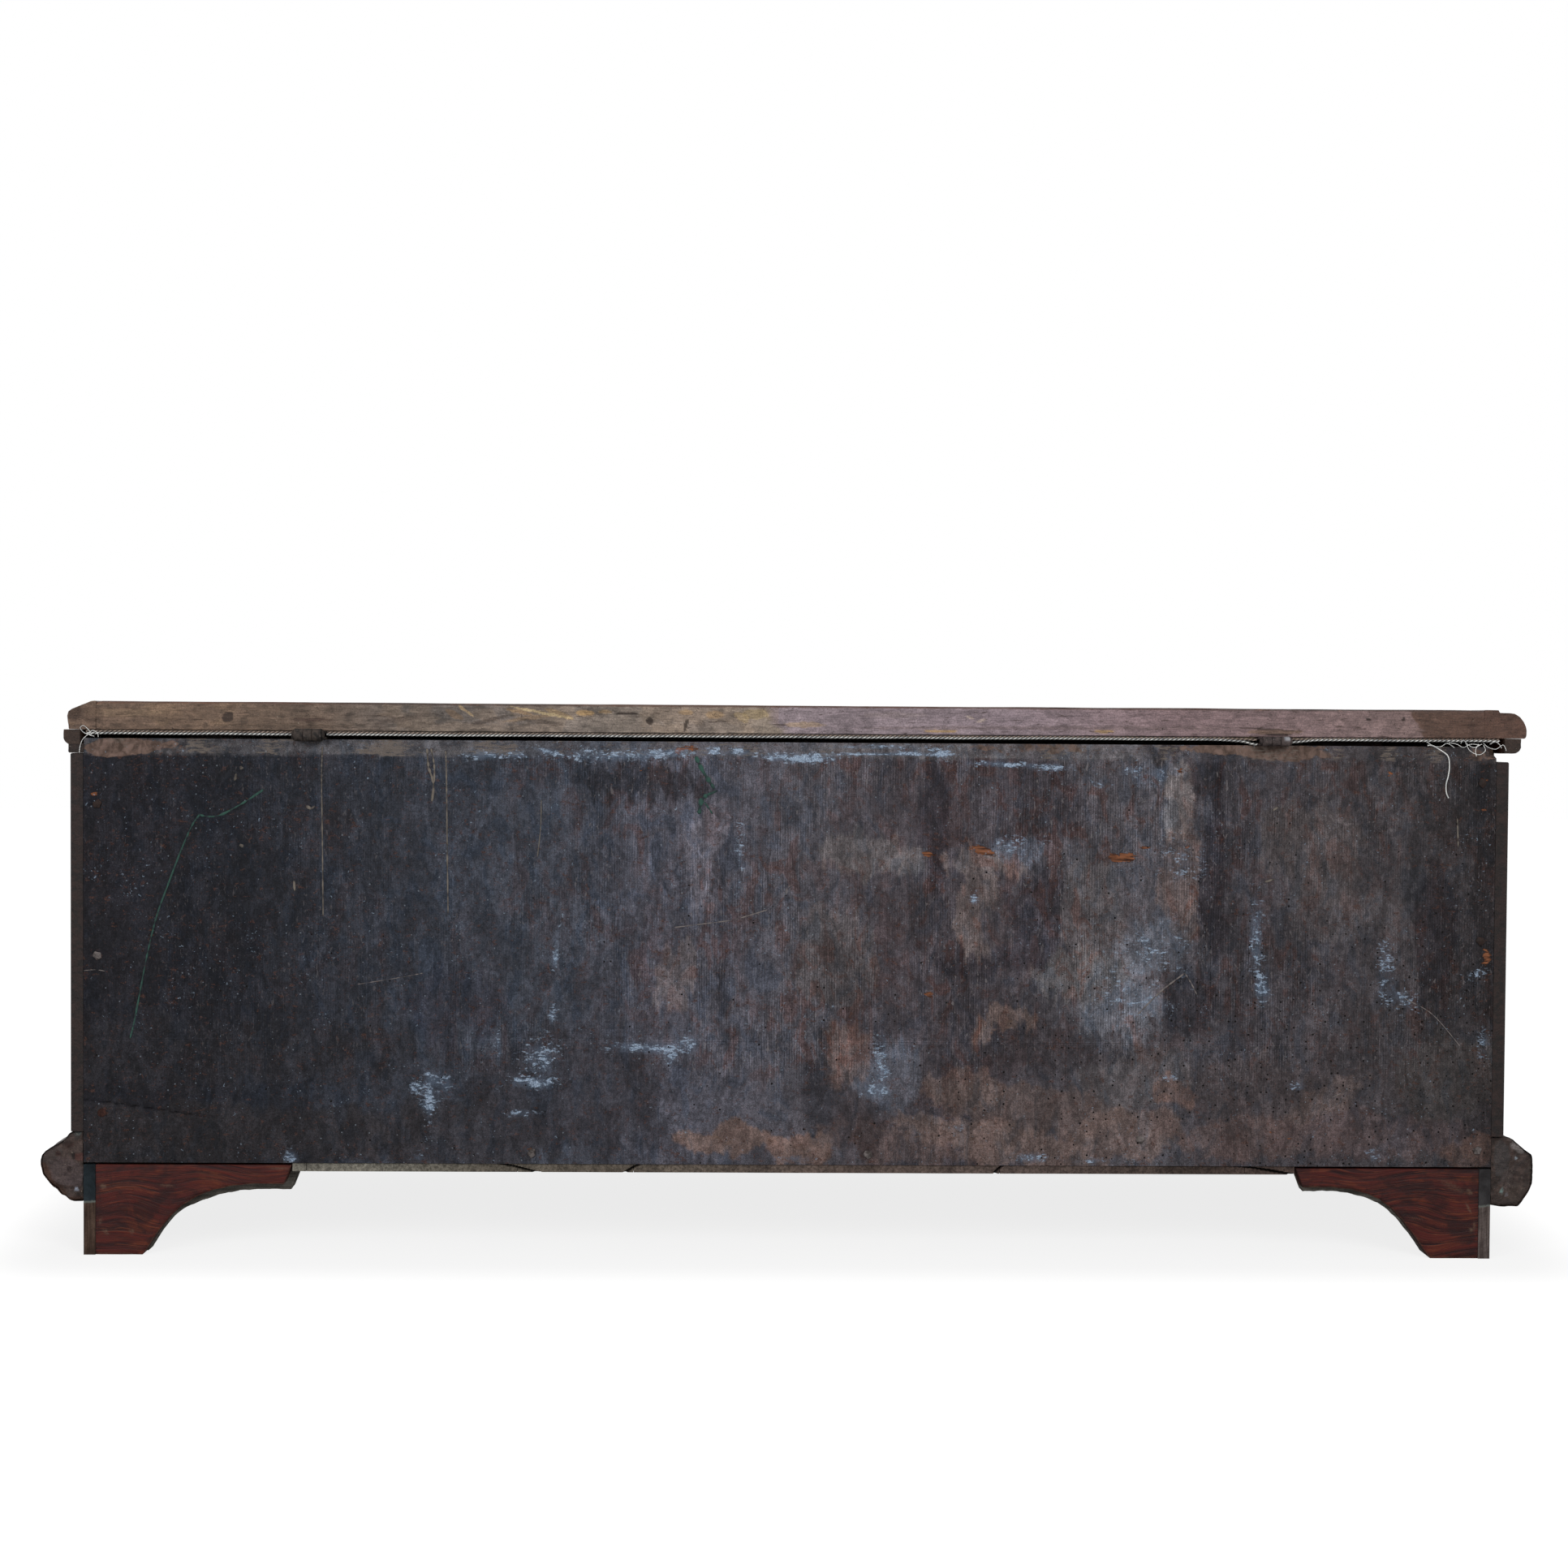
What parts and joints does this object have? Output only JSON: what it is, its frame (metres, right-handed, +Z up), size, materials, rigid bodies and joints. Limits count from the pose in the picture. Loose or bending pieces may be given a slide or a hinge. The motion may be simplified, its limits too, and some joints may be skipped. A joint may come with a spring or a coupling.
{
  "type": "cassapanca",
  "caption": "Antique wooden cassapanca, a long chest-bench on bracket feet with a hinged lid, heavy base moulding and nailed plank back.",
  "frame": {"origin": "centre of the bounding box in plan, on the floor under the feet", "axes": "+X along the chest's length towards its right end as seen from the front, +Y to the nailed plank back, -Y to the front, +Z up"},
  "size_m": [1.737, 0.5724, 0.641],
  "materials": {
    "grimed_back": "bare softwood, blackened by smoke, dirt and damp",
    "stained_wood": "dark red-brown stain, worn wax",
    "foot_wood": "red-brown varnish stain over visible grain",
    "raw_wood": "bare greyed softwood",
    "iron": "hand-forged, brown rust with rubbed spots",
    "lining": "aged plain linen",
    "braid": "twisted two-row braid, dusty cream with pale blue thread"
  },
  "bodies": {
    "chest": {"back_plank_upper": "grimed_back", "back_plank_lower": "grimed_back", "front_board": "stained_wood", "end_board_right": "stained_wood", "end_board_left": "stained_wood", "bottom_board_1": "raw_wood", "bottom_board_2": "raw_wood", "bottom_board_3": "raw_wood", "bottom_board_4": "raw_wood", "bottom_board_5": "raw_wood", "bottom_board_6": "raw_wood", "base_moulding_front": "stained_wood", "base_moulding_right": "stained_wood", "base_moulding_left": "stained_wood", "front_right_foot_front": "stained_wood", "front_right_foot_side": "stained_wood", "front_right_foot_block": "raw_wood", "front_left_foot_front": "stained_wood", "front_left_foot_side": "stained_wood", "front_left_foot_block": "raw_wood", "rear_right_foot_back": "foot_wood", "rear_right_foot_backing": "raw_wood", "rear_right_foot_side": "raw_wood", "rear_right_foot_block": "raw_wood", "rear_left_foot_back": "foot_wood", "rear_left_foot_backing": "raw_wood", "rear_left_foot_side": "raw_wood", "rear_left_foot_block": "raw_wood", "hinge_right_back_leaf": "iron", "hinge_right_pin": "iron", "hinge_left_back_leaf": "iron", "hinge_left_pin": "iron", "lock_case": "iron", "lock_escutcheon": "iron", "back_nail_1": "iron", "back_nail_2": "iron", "back_nail_3": "iron", "back_nail_4": "iron", "back_nail_5": "iron", "back_nail_6": "iron", "back_nail_7": "iron", "back_nail_8": "iron", "back_peg": "raw_wood", "loose_thread": "braid"},
    "lid": {"lid_board": "stained_wood", "lid_nosing_front": "stained_wood", "lid_nosing_right": "stained_wood", "lid_nosing_left": "stained_wood", "lid_strip_front": "stained_wood", "lid_strip_right": "stained_wood", "lid_strip_left": "stained_wood", "hinge_right_lid_leaf": "iron", "hinge_left_lid_leaf": "iron", "lock_staple": "iron", "lid_lining": "lining", "lid_braid_left": "braid", "lid_braid_middle": "braid", "lid_braid_right": "braid"},
    "bolt": {"lock_bolt": "iron"}
  },
  "joints": [
    {"name": "lid_hinge", "type": "hinge", "parent": "chest", "child": "lid", "pos_m": [0, 0.27825, 0.603], "axis": [-1, 0, 0], "range_deg": [0, 105]},
    {"name": "lock_bolt_slide", "type": "slide", "parent": "chest", "child": "bolt", "axis": [1, 0, 0], "range_m": [0, 0.014]}
  ]
}
